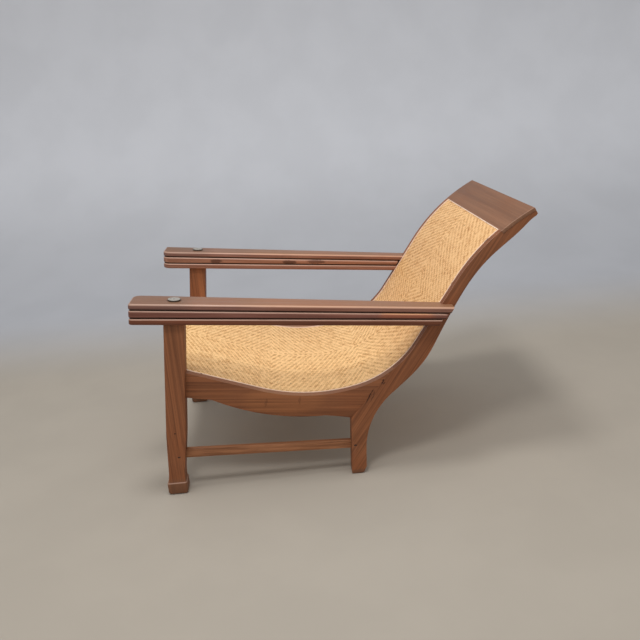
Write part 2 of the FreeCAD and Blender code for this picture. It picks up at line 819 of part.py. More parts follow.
screw_head = on_pivot("screw_head", "Sizes.screw_head_diameter / 2", "Sizes.screw_head_thickness",
                      0.0)
screw_shank = on_pivot("screw_shank", "Sizes.screw_diameter / 2", "Sizes.screw_reach",
                       size("screw_reach"))
piece("pivot_screw_left", fuse("screw_left", screw_head, screw_shank))
washers = []
for number, gap_top in enumerate((size("board_thickness"), under_depth - size("layer_gap")), start=1):
    gap_floor = gap_top + size("layer_gap")
    ring = on_pivot(f"washer_{number}", "Sizes.washer_diameter / 2",
                    "Sizes.layer_gap - 2 * Sizes.washer_clearance",
                    gap_floor - size("washer_clearance"))
    eye = on_pivot(f"washer_eye_{number}", "Sizes.screw_diameter / 2 + Sizes.washer_play",
                   "2 * Sizes.overrun", gap_floor + size("overrun"))
    washers.append(cut(f"washer_ring_{number}", ring, eye))
piece("pivot_washers_left", compound("washers_left", *washers))
screw_hole = on_pivot("screw_hole", bore_radius, "Sizes.screw_reach", size("screw_reach"))
under = arm_layer("under", "under_rail_thickness", size("under_rail_reach"), under_place)
piece("arm_under_rail_left", cut("under_left", under, fixed_notch, screw_hole))

# Posts and stiles with their mortises

piece("front_post_left", cut(
    "post_left", post_blank, rail_tenon, front_tenon, stretcher_tenon, front_peg, screw_hole))
piece("stile_left", cut("stile_joined", stile_blank, back_tenon, stretcher_tenon, rear_peg))

# Head panel over the stiles' fronts

def panel_outline():
    """Side view of the panel, with its upper end rounded at the front."""
    panel, top, rounding = size("panel_thickness"), seat.length, size("top_round") / 2
    curves = seat.edges(panel_start, top - rounding)
    corner = seat.off(top - rounding * (1 - math.sin(math.pi / 4)),
                      rounding * (1 - math.cos(math.pi / 4)))
    curves.append(arc(seat.at(top - rounding)[0], corner, seat.off(top, rounding)))
    curves += lines(seat.off(top, rounding), seat.off(top, panel), closed=False)
    curves += seat.edges(panel_start, top, panel)
    curves += lines(seat.off(panel_start, panel), seat.at(panel_start)[0], closed=False)
    return curves


piece("head_panel", common(
    "panel", prism("panel_side", SIDE_VIEW, panel_outline()),
    between_stiles("panel_width", -size("panel_overhang"))))

# Woven mat, lying in the rebate of rails and stiles, and the beads along its edges

clear = size("mat_clearance")
mat_inset = rebate_inset + clear + size("bead_width")
mat_first = seat_distance(rail_face) + size("bead_width")
mat_last = panel_start - clear - size("bead_width")
mat_top = size("rebate_depth") - size("mat_thickness")
bead_top = -size("bead_rise")
inner_gap = inner_post - clear


def beside_posts(name):
    """All that lies in front of the rear faces of the posts and beside their inner faces."""
    rear = rail_front_place[0] + clear
    plan = lines((inner_gap, far_front), (2 * pivot_across, far_front), (2 * pivot_across, rear),
                 (inner_gap, rear))
    left = prism(name + "_left", PLAN_VIEW, plan)
    return compound(name, left, mirrored(name + "_right", left))


post_room = beside_posts("post_room")
mat_band = seat_band("mat_band", mat_first, mat_last, -mat_top, size("rebate_depth"))
piece("woven_mat", cut(
    "mat", common("mat_sheet", mat_band, seat_width("mat_width", mat_inset)), post_room))

side_band = seat_band("side_bead_band", rail_front + clear, panel_start - clear, -bead_top,
                      size("rebate_depth"))
side_beads = cut(
    "side_beads",
    common("side_beads_whole", side_band, seat_width("bead_width_outer", rebate_inset + clear)),
    seat_width("bead_width_inner", mat_inset))
piece("mat_bead_left", cut("bead_left", left_half("bead_left_half", side_beads), post_room))
top_band = seat_band("top_bead_band", mat_last, panel_start - clear, -bead_top,
                     size("rebate_depth"))
piece("mat_bead_top", common("bead_top", top_band, seat_width("top_bead_width", mat_inset)))
front_band = seat_band("front_bead_band", seat_distance(rail_face), mat_first, -bead_top,
                       size("rebate_depth"))
piece("mat_bead_front", cut(
    "bead_front", common("bead_front_whole", front_band,
                         seat_width("front_bead_width", rebate_inset)), post_room))

# The right side mirrors the left

for label in [name for name in pieces if name.endswith("_left")]:
    other_label = label.replace("_left", "_right")
    piece(other_label, mirrored(other_label + "_mirrored", pieces[label]))

doc.recompute()


def faults():
    """Names of features that failed and of pieces that aren't sound solids."""
    failed = [part.Name for part in doc.Objects
              if "Invalid" in part.State or "Error" in part.State]
    failed += [label for label, part in pieces.items()
               if part.Shape.isNull() or not part.Shape.isValid() or not part.Shape.Solids]
    return failed


if faults():
    raise RuntimeError(f"not built: {faults()}")

# Slide the chair so that its origin lies under the middle of its footprint

bounds = FreeCAD.BoundBox()
for part in pieces.values():
    bounds.add(part.Shape.BoundBox)
slide = Vector(0, -(bounds.YMin + bounds.YMax) / 2, 0)
os.makedirs("parts", exist_ok=True)
for label, part in sorted(pieces.items()):
    shape = part.Shape.copy()
    shape.translate(slide)
    shape.exportStep(f"parts/{label}.step")
    print(f"{label:22s} solids {len(shape.Solids)} volume {shape.Volume / 1000:9.1f} cm3")
print(f"slide {slide.y:.3f} width {bounds.XLength:.2f} depth {bounds.YLength:.2f} "
      f"height {bounds.ZLength:.2f} lowest {bounds.ZMin:.3f}")
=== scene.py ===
import math

import bmesh
import bpy
import numpy as np
from mathutils import Matrix, Vector


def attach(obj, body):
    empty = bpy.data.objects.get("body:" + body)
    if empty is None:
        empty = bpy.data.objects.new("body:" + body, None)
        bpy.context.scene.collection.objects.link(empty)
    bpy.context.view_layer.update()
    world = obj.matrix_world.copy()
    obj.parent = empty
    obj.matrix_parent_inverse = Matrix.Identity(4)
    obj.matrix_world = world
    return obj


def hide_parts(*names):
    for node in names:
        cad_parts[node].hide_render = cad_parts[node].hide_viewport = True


bl_info = {
    "name": "Planter's Chair",
    "version": (1, 0, 0),
    "blender": (4, 5, 0),
    "location": "3D View > Sidebar > Chair",
    "description": "Finishes a packed planter's chair with worn wood, woven cane and steel pivots",
    "category": "Object",
}

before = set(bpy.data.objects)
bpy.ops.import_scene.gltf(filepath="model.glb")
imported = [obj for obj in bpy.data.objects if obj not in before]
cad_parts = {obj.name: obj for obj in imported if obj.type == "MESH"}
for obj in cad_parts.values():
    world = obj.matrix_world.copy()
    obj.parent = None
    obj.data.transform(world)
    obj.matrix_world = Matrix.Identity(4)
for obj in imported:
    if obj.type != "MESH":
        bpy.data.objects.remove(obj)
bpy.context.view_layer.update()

SIDES = ("left", "right")


# Settings that a user may change

class ChairFinish(bpy.types.PropertyGroup):
    """Colours of the wood and the cane, and the widths of the cane's strands."""

    outer_dark: bpy.props.FloatVectorProperty(
        name="Outer wood, dark", description="Dark grain of posts, rails and stiles",
        subtype="COLOR", size=3, min=0.0, max=1.0, default=(0.150, 0.050, 0.018))
    outer_light: bpy.props.FloatVectorProperty(
        name="Outer wood, light", description="Light grain of posts, rails and stiles",
        subtype="COLOR", size=3, min=0.0, max=1.0, default=(0.305, 0.110, 0.042))
    board_dark: bpy.props.FloatVectorProperty(
        name="Arm board, dark", description="Dark grain of the arm boards' sides",
        subtype="COLOR", size=3, min=0.0, max=1.0, default=(0.160, 0.070, 0.053))
    board_light: bpy.props.FloatVectorProperty(
        name="Arm board, light", description="Light grain of the arm boards' sides",
        subtype="COLOR", size=3, min=0.0, max=1.0, default=(0.290, 0.140, 0.105))
    board_top: bpy.props.FloatVectorProperty(
        name="Arm board, top", description="The arms' tops, where hands rest",
        subtype="COLOR", size=3, min=0.0, max=1.0, default=(0.272, 0.136, 0.077))
    panel_dark: bpy.props.FloatVectorProperty(
        name="Head panel, dark", description="Dark grain of the plank at the head",
        subtype="COLOR", size=3, min=0.0, max=1.0, default=(0.178, 0.080, 0.041))
    panel_light: bpy.props.FloatVectorProperty(
        name="Head panel, light", description="Light grain of the plank at the head",
        subtype="COLOR", size=3, min=0.0, max=1.0, default=(0.257, 0.124, 0.068))
    stretcher_dark: bpy.props.FloatVectorProperty(
        name="Stretcher, dark", description="Dark grain of the low side bars",
        subtype="COLOR", size=3, min=0.0, max=1.0, default=(0.165, 0.061, 0.023))
    stretcher_light: bpy.props.FloatVectorProperty(
        name="Stretcher, light", description="Light grain of the low side bars",
        subtype="COLOR", size=3, min=0.0, max=1.0, default=(0.385, 0.163, 0.072))
    # The worn colour also paints the highlight on the feet's upward bevel
    worn: bpy.props.FloatVectorProperty(
        name="Worn edge", description="Where hands have rubbed the wood along its edges",
        subtype="COLOR", size=3, min=0.0, max=1.0, default=(0.500, 0.300, 0.220))
    # The cane's light colour also stands for the lit crown of a strand, and its dark colour for
    # the painted shade where one strand dips under another
    cane_light: bpy.props.FloatVectorProperty(
        name="Cane, light", description="Crown of a cane strand",
        subtype="COLOR", size=3, min=0.0, max=1.0, default=(0.985, 0.645, 0.305))
    cane_dark: bpy.props.FloatVectorProperty(
        name="Cane, dark", description="Where one strand dips under another",
        subtype="COLOR", size=3, min=0.0, max=1.0, default=(0.500, 0.230, 0.066))
    bead: bpy.props.FloatVectorProperty(
        name="Bead", description="Thin strip along the mat's edge",
        subtype="COLOR", size=3, min=0.0, max=1.0, default=(1.000, 0.740, 0.560))
    strand: bpy.props.FloatProperty(
        name="Strand width", description="Width of the cane strands that run across the seat",
        unit="LENGTH", min=0.002, max=0.01, default=0.0042)
    long_strand: bpy.props.FloatProperty(
        name="Long strand width", description="Width of the doubled strands that run along it",
        unit="LENGTH", min=0.002, max=0.02, default=0.0082)


class ChairEdges(bpy.types.PropertyGroup):
    """Roundness and wear of the edges."""

    arris: bpy.props.FloatProperty(
        name="Arris", description="Width of the rounding along the frame's edges",
        unit="LENGTH", min=0.0005, max=0.004, default=0.0024)
    board_arris: bpy.props.FloatProperty(
        name="Board arris", description="Width of the rounding along the arm boards",
        unit="LENGTH", min=0.0005, max=0.007, default=0.0056)
    arm_arris: bpy.props.FloatProperty(
        name="Arm arris", description="Width of the rounding on top of the arms' lower layers",
        unit="LENGTH", min=0.0005, max=0.006, default=0.0048)
    under_arris: bpy.props.FloatProperty(
        name="Under arris", description="Width of the rounding under each layer of the arms",
        unit="LENGTH", min=0.0005, max=0.005, default=0.0034)
    fine_arris: bpy.props.FloatProperty(
        name="Fine arris", description="Width of the rounding on thin pieces",
        unit="LENGTH", min=0.0003, max=0.002, default=0.0012)
    foot_wear: bpy.props.FloatProperty(
        name="Foot wear", description="Width of the worn bevel under the feet",
        unit="LENGTH", min=0.001, max=0.01, default=0.005)


class ChairStage(bpy.types.PropertyGroup):
    """Floor, lamps and lens."""

    floor: bpy.props.FloatVectorProperty(
        name="Floor", description="Colour of the floor",
        subtype="COLOR", size=3, min=0.0, max=1.0, default=(0.410, 0.365, 0.305))
    backdrop: bpy.props.FloatVectorProperty(
        name="Backdrop", description="Colour of the floor's sweep where it rises at the back",
        subtype="COLOR", size=3, min=0.0, max=1.0, default=(0.640, 0.652, 0.690))
    lamp: bpy.props.FloatProperty(
        name="Lamp", description="Power of each soft lamp overhead",
        unit="POWER", min=0.0, default=25.0)
    sky: bpy.props.FloatProperty(
        name="Sky", description="Strength of the even light all round", min=0.0, default=0.70)
    lens: bpy.props.FloatProperty(
        name="Lens", description="Focal length", subtype="DISTANCE_CAMERA", min=10.0, default=40.5)


# Shader maths in plain expressions

class Value:
    """A node's output socket that can be used in sums."""

    def __init__(self, shader, socket):
        self.shader = shader
        self.socket = socket

    def maths(self, operation, *others):
        return self.shader.node("ShaderNodeMath", {"operation": operation},
                                {number: item for number, item in enumerate((self, *others))})

    def __add__(self, other):
        return self.maths("ADD", other)

    def __mul__(self, other):
        return self.maths("MULTIPLY", other)

    def __sub__(self, other):
        return self.maths("SUBTRACT", other)

    def __rsub__(self, other):
        return self * -1.0 + other

    def __pow__(self, other):
        return self.maths("POWER", other)

    __radd__ = __add__
    __rmul__ = __mul__

    def over(self, low, high):
        """0 below low, 1 above high, and smooth between."""
        return self.shader.node("ShaderNodeMapRange", {"interpolation_type": "SMOOTHSTEP"},
                                {"Value": self, "From Min": low, "From Max": high})


class Shader:
    """A material with one Principled shader, and short calls for its nodes."""

    def __init__(self, name):
        self.material = bpy.data.materials.new(name)
        self.material.use_nodes = True
        self.tree = self.material.node_tree
        self.surface = self.tree.nodes["Principled BSDF"]

    def node(self, kind, settings=None, inputs=None, output=0):
        made = self.tree.nodes.new(kind)
        for name, value in (settings or {}).items():
            setattr(made, name, value)
        for name, value in (inputs or {}).items():
            self.feed(made.inputs[name], value)
        return Value(self, made.outputs[output])

    def feed(self, socket, value):
        if isinstance(value, Value):
            self.tree.links.new(value.socket, socket)
        elif hasattr(value, "__len__") and len(value) == 3 and len(socket.default_value) == 4:
            socket.default_value = (*value, 1.0)
        else:
            socket.default_value = value

    def finish(self, **inputs):
        for name, value in inputs.items():
            title = name.replace("_", " ").title().replace("Ior", "IOR")
            self.feed(self.surface.inputs[title], value)
        return self.material

    def place(self, turn=(0.0, 0.0, 0.0), grain=(1.0, 1.0, 1.0), shift=(0.0, 0.0, 0.0)):
        """Object coordinates, turned to a grain's direction and measured in its lengths."""
        here = self.node("ShaderNodeTexCoord", output="Object")
        return self.node("ShaderNodeMapping", {"vector_type": "TEXTURE"},
                         {"Vector": here, "Location": shift, "Rotation": turn, "Scale": grain})

    def axes(self):
        """The three object coordinates as separate values."""
        first = self.node("ShaderNodeSeparateXYZ", None, {0: self.place()})
        return first, *(Value(self, first.socket.node.outputs[number]) for number in (1, 2))

    def noise(self, where, scale=1.0, detail=2.0, roughness=0.5):
        return self.node("ShaderNodeTexNoise", None, {
            "Vector": where, "Scale": scale, "Detail": detail, "Roughness": roughness})

    def mixed(self, factor, first, second, blend="MIX"):
        """Two colours mixed by a factor."""
        return self.node("ShaderNodeMix", {"data_type": "RGBA", "blend_type": blend},
                         {0: factor, 6: first, 7: second}, 2)

    def bump(self, height, distance, strength=1.0):
        return self.node("ShaderNodeBump", None,
                         {"Height": height, "Distance": distance, "Strength": strength})

    def mark(self, pair, centre, turn, reach, wander=0.0):
        """1 inside an ellipse of a plane of the object, with a ragged, soft edge."""
        across, up = (item - middle for item, middle in zip(pair, centre))
        along = across * math.cos(turn) + up * math.sin(turn)
        beside = up * math.cos(turn) - across * math.sin(turn)
        if wander:
            beside = beside + (self.noise(self.place(), scale=150.0, detail=3.0) - 0.5) * wander
        along = along * (1.0 / reach[0])
        beside = beside * (1.0 / reach[1])
        return 1.0 - (along * along + beside * beside).over(0.45, 1.1)


# Finishes

# How the wood's grain heads: turns that bring X to it

CROSSWISE = (0.0, 0.0, 0.0)
UPWARDS = (0.0, math.radians(-90.0), 0.0)


def rearwards(fall):
    """A grain from front to rear that falls by so many degrees."""
    return 0.0, math.radians(fall), math.radians(90.0)


# Length and width of one feature of the grain

BROAD_GRAIN = (1.60, 0.026, 0.026)
LINE_GRAIN = (0.50, 0.0044, 0.0044)
PORE_GRAIN = (0.011, 0.0009, 0.0009)
SCUFF_GRAIN = (0.05, 0.012, 0.012)

# How much a rounding faces up, or down, where the painted shade of a groove begins and is full

GROOVE_ABOVE = (0.82, 0.97)
GROOVE_BELOW = (0.05, 0.45)

WEAR_FADE = 0.05
# Tint of the darkening towards the floor
DARK_BELOW_TINT = (0.135, 0.066, 0.036)
# Tint of the painted shade in the grooves between the arms' layers
GROOVE_SHADE_TINT = (0.12, 0.09, 0.08)
RIM = (0.300, 0.135, 0.070)

# Colours of the pegs, dark and light, and of the arms' lower layers: dark, light and top

PEG_COLOURS = ((0.025, 0.010, 0.007), (0.055, 0.022, 0.014))
LEAF_TOP = (0.190, 0.075, 0.047)
NEAR_LEAF = ((0.118, 0.040, 0.026), (0.220, 0.083, 0.057), LEAF_TOP)
NEAR_UNDER = ((0.097, 0.028, 0.012), (0.184, 0.056, 0.025), LEAF_TOP)
FAR_LEAF = ((0.210, 0.086, 0.050), (0.390, 0.180, 0.112), (0.360, 0.165, 0.100))
FAR_UNDER = ((0.165, 0.066, 0.040), (0.310, 0.140, 0.092), (0.300, 0.140, 0.085))

# Stained places: plane, centre, turn, half length and half width, raggedness, strength, tint

SHADE = (0.22, 0.16, 0.14)
POST_MARKS = (("YZ", (-0.4885, 0.1971), 0.0, (0.003, 0.0026), 0.0, 0.9, SHADE),)
JOINT_MARKS = (
    ("YZ", (0.0765, 0.2450), 60.0, (0.030, 0.0018), 0.010, 0.95, SHADE),
    ("YZ", (0.0865, 0.2440), 66.0, (0.020, 0.0013), 0.008, 0.80, SHADE),
    ("YZ", (0.1180, 0.2880), 64.0, (0.009, 0.0030), 0.007, 0.95, SHADE),
    ("YZ", (0.1215, 0.2820), 30.0, (0.006, 0.0016), 0.005, 0.85, SHADE),
)
RAIL_MARKS = (
    ("YZ", (-0.2226, 0.2557), 75.0, (0.016, 0.0035), 0.012, 0.30, SHADE),
    ("YZ", (-0.1260, 0.2530), 80.0, (0.014, 0.0035), 0.012, 0.28, SHADE),
    ("YZ", (-0.1700, 0.2600), -4.0, (0.130, 0.0500), 0.020, 1.00, (1.20, 1.23, 1.18)),
)
LEAF_MARKS = (("YZ", (0.19, 0.487), -6.0, (0.085, 0.03), 0.03, 0.8, (1.6, 1.3, 0.9)),)
FAR_LEAF_MARKS = (
    ("YZ", (-0.378, 0.546), -6.0, (0.024, 0.007), 0.010, 0.80, SHADE),
    ("YZ", (-0.118, 0.519), -6.0, (0.028, 0.008), 0.010, 0.80, SHADE),
    ("YZ", (-0.022, 0.512), -6.0, (0.036, 0.008), 0.012, 0.65, SHADE),
)
BOARD_MARKS = (
    ("YZ", (-0.54, 0.59), -6.0, (0.16, 0.05), 0.02, 1.0, (0.80, 0.82, 0.82)),
    ("YZ", (0.10, 0.53), -6.0, (0.40, 0.05), 0.02, 1.0, (1.16, 1.12, 1.02)),
)
SCREW_STAIN = (0.0, (0.023, 0.023), 0.004, 0.45, SHADE)


def wood(name, dark, light, heading, worn, shift=0.0, gloss=0.5, wear=0.5, wear_from=(-0.6, 0.35),
         wear_above=-1.0, top=None, ledge=0.0, groove_shades=(0.0, 0.0), soil=0.0, marks=()):
    """Old hardwood with soft lengthwise grain; heading turns X to the grain."""
    shader = Shader(name)
    shift = (shift, 0.37 * shift, 0.21 * shift)
    broad = shader.noise(shader.place(heading, BROAD_GRAIN, shift), detail=3.0)
    lines = shader.noise(shader.place(heading, LINE_GRAIN, shift), detail=3.0, roughness=0.6)
    pores = shader.noise(shader.place(heading, PORE_GRAIN, shift), detail=1.0)
    patches = shader.noise(shader.place(shift=shift), scale=7.0, detail=2.0)
    up = shader.node("ShaderNodeSeparateXYZ", None,
                     {0: shader.node("ShaderNodeNewGeometry", output="Normal")}, 2)
    edge, rounding = (shader.node("ShaderNodeAttribute", {"attribute_name": name}, output="Fac")
                      for name in ("wear", "rounding"))
    tone = (broad * 0.4 + lines * 0.6).over(0.33, 0.67)
    coordinates = dict(zip("XYZ", shader.axes()))
    colour = shader.mixed(tone, dark, light)
    if top:
        rubbed = shader.mixed(tone, tuple(0.82 * c for c in top), top)
        rubbed = shader.mixed(patches.over(0.38, 0.62) * 0.5, rubbed,
                              tuple(0.5 * a + 0.5 * b for a, b in zip(light, top)))
        colour = shader.mixed(up.over(0.45, 0.85), colour, rubbed)
    colour = shader.mixed(patches.over(0.45, 0.70) * 0.6, colour, (1.0, 0.90, 0.82), "MULTIPLY")
    colour = shader.mixed(pores.over(0.62, 0.72) * 0.3, colour, (0.42, 0.38, 0.36), "MULTIPLY")
    scuffs = shader.noise(shader.place(heading, SCUFF_GRAIN, shift), detail=3.0)
    wear_and_highlight = (edge * (0.45 + scuffs * 1.1)).over(0.20, 0.95) * up.over(*wear_from) * wear
    wear_and_highlight = wear_and_highlight * coordinates["Z"].over(wear_above, wear_above + WEAR_FADE)
    # Painted highlight: upward faces near the floor, the feet's bevel, are painted pale in the
    # worn colour
    if ledge:
        wear_and_highlight = wear_and_highlight + up.over(0.15, 0.40) * (1.0 - coordinates["Z"].over(0.9 * ledge, ledge)) * 0.9
    colour = shader.mixed(wear_and_highlight, colour, worn)
    # Painted shade: roundings that face into the grooves between layers are darkened
    for strength, facing in zip(groove_shades, (up, up * -1.0)):
        if strength:
            groove_shade = rounding * facing.over(*(GROOVE_ABOVE if facing is up else GROOVE_BELOW))
            colour = shader.mixed(groove_shade * strength, colour, GROOVE_SHADE_TINT, "MULTIPLY")
    # Darker towards the floor, below a set height, with a ragged edge
    if soil:
        low = 1.0 - (coordinates["Z"] + (scuffs - 0.5) * 0.02).over(0.55 * soil, soil)
        colour = shader.mixed(low * 0.6, colour, DARK_BELOW_TINT)
    for plane, centre, turn, reach, wander, strength, tint in marks:
        spot = shader.mark([coordinates[letter] for letter in plane], centre, math.radians(turn),
                           reach, wander)
        colour = shader.mixed(spot * strength, colour, tint, "MULTIPLY")
    height = lines * 0.5 + pores * -0.35 + broad * 0.3
    return shader.finish(
        base_color=colour, roughness=gloss + 0.14 * tone - 0.08 * edge, specular_ior_level=0.35,
        normal=shader.bump(height, 0.0003, 0.5))


def cane(name, light, dark, bead, widths):
    """Flat cane strands woven two over two, with the diagonals turned into nested diamonds."""
    shader = Shader(name)
    across = shader.node("ShaderNodeSeparateXYZ", None,
                         {0: shader.node("ShaderNodeUVMap", {"uv_map": "weave"})})
    along = Value(shader, across.socket.node.outputs[1])
    back = (along * MAT_CHART).over(0.58, 0.80)
    across, along = (item * (MAT_CHART / width) for item, width in zip((across, along), widths))
    first, second = (
        (item.maths("FLOOR") - round(centre / width)).maths("PINGPONG", round(reach / width))
        for item, centre, reach, width in zip((across, along), MAT_CENTRE, MAT_DIAMOND, widths))
    phase = (first + second + 0.5).maths("MODULO", 4.0)
    over = phase.maths("GREATER_THAN", 2.0)
    # The tone paints the weave's relief: lit crowns on each strand, painted shade along its edges
    # and where it dips under another
    crown_across, crown_along = (
        1.0 - (item.maths("FRACT") * 2.0 - 1.0).maths("ABSOLUTE") ** 4.0
        for item in (across * 2.0, along))
    dips = ((phase * 0.5).maths("FRACT") * 2.0 - 1.0).maths("ABSOLUTE") ** 3.0
    flat = (1.0 - over) * crown_across + over * crown_along - dips * 0.6
    strands = shader.noise(shader.place(), scale=125.0, detail=3.0, roughness=0.65)
    each_across, each_along = (
        shader.node("ShaderNodeTexWhiteNoise", {"noise_dimensions": "1D"},
                    {"W": item.maths("FLOOR")}) for item in (across * 2.0, along))
    fibres = (1.0 - over) * each_across + over * each_along
    stain = shader.noise(shader.place(), scale=5.0, detail=3.0)
    clouds = shader.noise(shader.place(), scale=34.0, detail=2.0)
    gap_shade = shader.noise(shader.place(), scale=120.0, detail=1.0).over(0.735, 0.78)
    tone = (flat * 0.60 + over * 0.38 + (strands - 0.5) * 1.7 + (fibres - 0.5) * 0.45
            + (clouds - 0.5) * 0.9)
    tone = tone.over(-0.15, 0.95)
    colour = shader.mixed(tone, dark, light)
    colour = shader.mixed(stain.over(0.45, 0.75) * 0.3, colour, (0.93, 0.86, 0.78), "MULTIPLY")
    colour = shader.mixed(back, colour, (0.91, 0.86, 0.84), "MULTIPLY")
    # Painted shade seen through the small gaps between strands
    colour = shader.mixed(gap_shade * 0.75, colour, tuple(0.35 * c for c in dark))
    inset = shader.node("ShaderNodeAttribute", {"attribute_name": "inset"}, output="Fac")
    colour = shader.mixed(1.0 - inset.over(*MAT_BORDER), colour, bead)
    return shader.finish(base_color=colour, roughness=0.45 + 0.15 * (1.0 - tone),
                         specular_ior_level=0.2,
                         normal=shader.bump(flat * 0.6 + over * 0.4, 0.0008, 0.6))


def strip(name, light, nick):
    """Split cane strip, pale, with dark nicks where it is tacked down."""
    shader = Shader(name)
    mottle = shader.noise(shader.place(), scale=120.0, detail=3.0)
    nicks = shader.noise(shader.place(), scale=38.0, detail=2.0).over(0.66, 0.72)
    colour = shader.mixed(mottle.over(0.3, 0.7), tuple(0.75 * c for c in light), light)
    colour = shader.mixed(nicks * 0.8, colour, nick)
    return shader.finish(base_color=colour, roughness=0.5 + 0.15 * mottle,
                         normal=shader.bump(mottle, 0.0003))


def steel(name):
    """Dull steel, with painted shade on the faces that do not face up, such as its rim, and in its
    slot.
    """
    shader = Shader(name)
    tarnish = shader.noise(shader.place(), scale=160.0, detail=4.0)
    up = shader.node("ShaderNodeSeparateXYZ", None,
                     {0: shader.node("ShaderNodeNewGeometry", output="Normal")}, 2)
    colour = shader.mixed(tarnish.over(0.40, 0.75), (0.50, 0.47, 0.42), (0.28, 0.25, 0.22))
    # Painted shade: every face that does not face up, such as the disc's rim and the washers'
    # sides, is darkened
    colour = shader.mixed(1.0 - up.over(0.75, 0.97), colour, (0.09, 0.075, 0.06))
    across, along, _ = shader.axes()
    # Painted shade of the screw's slot, a dark mark at the middle of each head
    slot = shader.mark((across.maths("ABSOLUTE"), along), (0.3300, -0.4434), 0.0, (0.003, 0.002))
    colour = shader.mixed(slot * 0.8, colour, (0.05, 0.04, 0.035))
    return shader.finish(base_color=colour, metallic=0.7 - 0.3 * tarnish,
                         roughness=0.38 + 0.2 * tarnish,
                         normal=shader.bump(tarnish, 0.0001, 0.4))


# Modelling helpers

ROUNDING_SLOT = 1
SHARP_ANGLE = math.radians(35.0)
MERGE_GAP = 0.00001
COPLANAR_ANGLE = math.radians(0.6)


def deselected():
    bpy.ops.object.select_all(action="DESELECT")


def active(piece):
    deselected()
    piece.select_set(True)
    bpy.context.view_layer.objects.active = piece


def copied(node, name):
    """A copy of a CAD node as one clean mesh; its second material slot is for roundings."""
    active(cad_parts[node])
    bpy.ops.object.duplicate()
    piece = bpy.context.active_object
    piece.name = piece.data.name = name
    piece.parent = None
    for key in list(piece.keys()):
        del piece[key]
    piece.data.materials.clear()
    for _ in range(ROUNDING_SLOT + 1):
        piece.data.materials.append(None)
    bpy.ops.object.mode_set(mode="EDIT")
    bpy.ops.mesh.select_all(action="SELECT")
    bpy.ops.mesh.remove_doubles(threshold=MERGE_GAP)
    bpy.ops.mesh.dissolve_limited(angle_limit=COPLANAR_ANGLE)
    bpy.ops.object.mode_set(mode="OBJECT")
    return piece


def bevel_edges(piece, wanted, width, segments):
    """Round the edges for which wanted(edge) is true."""
    active(piece)
    bpy.ops.object.mode_set(mode="EDIT")
    bpy.ops.mesh.select_mode(type="EDGE")
    bpy.ops.mesh.select_all(action="DESELECT")
    shape = bmesh.from_edit_mesh(piece.data)
    for edge in shape.edges:
        edge.select_set(wanted(edge))
    bmesh.update_edit_mesh(piece.data)
    bpy.ops.mesh.bevel(offset=width, segments=segments, affect="EDGES", clamp_overlap=False,
                       material=ROUNDING_SLOT)
    bpy.ops.object.mode_set(mode="OBJECT")


def rounded(piece, width, segments):
    """Round every sharp edge."""
    active(piece)
    bevel = piece.modifiers.new("rounding", "BEVEL")
    bevel.material = ROUNDING_SLOT
    bevel.width = width
    bevel.segments = segments
    bevel.limit_method = "ANGLE"
    bevel.angle_limit = SHARP_ANGLE
    bevel.use_clamp_overlap = True
    bevel.miter_outer = "MITER_ARC"
    bpy.ops.object.modifier_apply(modifier=bevel.name)


def worn(piece):
    """Mark the roundings, and along their middle the wear, for the finish to read."""
    mesh = piece.data
    crown = np.zeros(len(mesh.vertices))
    flat = np.zeros(len(mesh.vertices))
    rounding = np.zeros(len(mesh.polygons))
    for face in mesh.polygons:
        if face.material_index == ROUNDING_SLOT:
            crown[list(face.vertices)] = 1.0
            rounding[face.index] = 1.0
        else:
            flat[list(face.vertices)] = 1.0
    mesh.attributes.new("wear", "FLOAT", "POINT").data.foreach_set("value", crown * (1.0 - flat))
    mesh.attributes.new("rounding", "FLOAT", "FACE").data.foreach_set("value", rounding)


def smoothed(piece, angle=50.0):
    active(piece)
    bpy.ops.object.shade_smooth_by_angle(angle=math.radians(angle))


def finished(piece, material):
    """One material all over."""
    piece.data.polygons.foreach_set("material_index", [0] * len(piece.data.polygons))
    piece.data.materials.clear()
    piece.data.materials.append(material)


def fitted(piece, material, body, slot, *nodes):
    """Give a finished piece its material and its body, and hide the CAD nodes that it stands for.
    """
    finished(piece, material)
    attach(piece, body)
    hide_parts(*nodes)


def dressed(node, material, slot, arris, body="frame", shape=None):
    """A CAD node copied, shaped further if asked, its edges rounded and worn."""
    piece = copied(node, node.replace("_", "-") + "-dressed")
    if shape:
        shape(piece)
    rounded(piece, arris, 4)
    worn(piece)
    smoothed(piece)
    fitted(piece, material, body, slot, node)


# The seat line, seen from the side, from the front rail up to the head: where it starts and
# heads, then the length and the turn of each run

SEAT_START = (-0.491168, 0.3885)
SEAT_HEADING = -math.radians(20.2)
SEAT_RUNS = (
    (0.2692, 0.0),
    (0.5098 * math.radians(31.86), math.radians(31.86)),
    (0.2878 * math.radians(44.0), math.radians(44.0)),
    (0.2063, 0.0),
    (0.5789 * math.radians(27.36), -math.radians(27.36)),
    (0.0195, 0.0),
)

# The mat: where it begins and ends on that line, how far it lies below it, its thickness, the
# length that the weave's chart spans, the centre and half spacing of the woven diamonds, and
# how wide its pale border is. Then the grid that it is made of, and how its outline is read
# off the CAD solid: the stations along it, the side that is read, and the steps in its edge

MAT_ENDS = (0.00513, 1.16363)
MAT_DROP = 0.0004
MAT_THICKNESS = 0.0024
MAT_CHART = 1.3
MAT_CENTRE = (0.638, 0.302)
MAT_DIAMOND = (0.40, 0.285)
MAT_BORDER = (0.0040, 0.0052)
MAT_COLUMNS, MAT_ROWS = 60, 300
MAT_STATIONS = 2601
MAT_SIDE = 0.2
MAT_STEP = 0.001
MAT_STEP_RUN = 0.0006


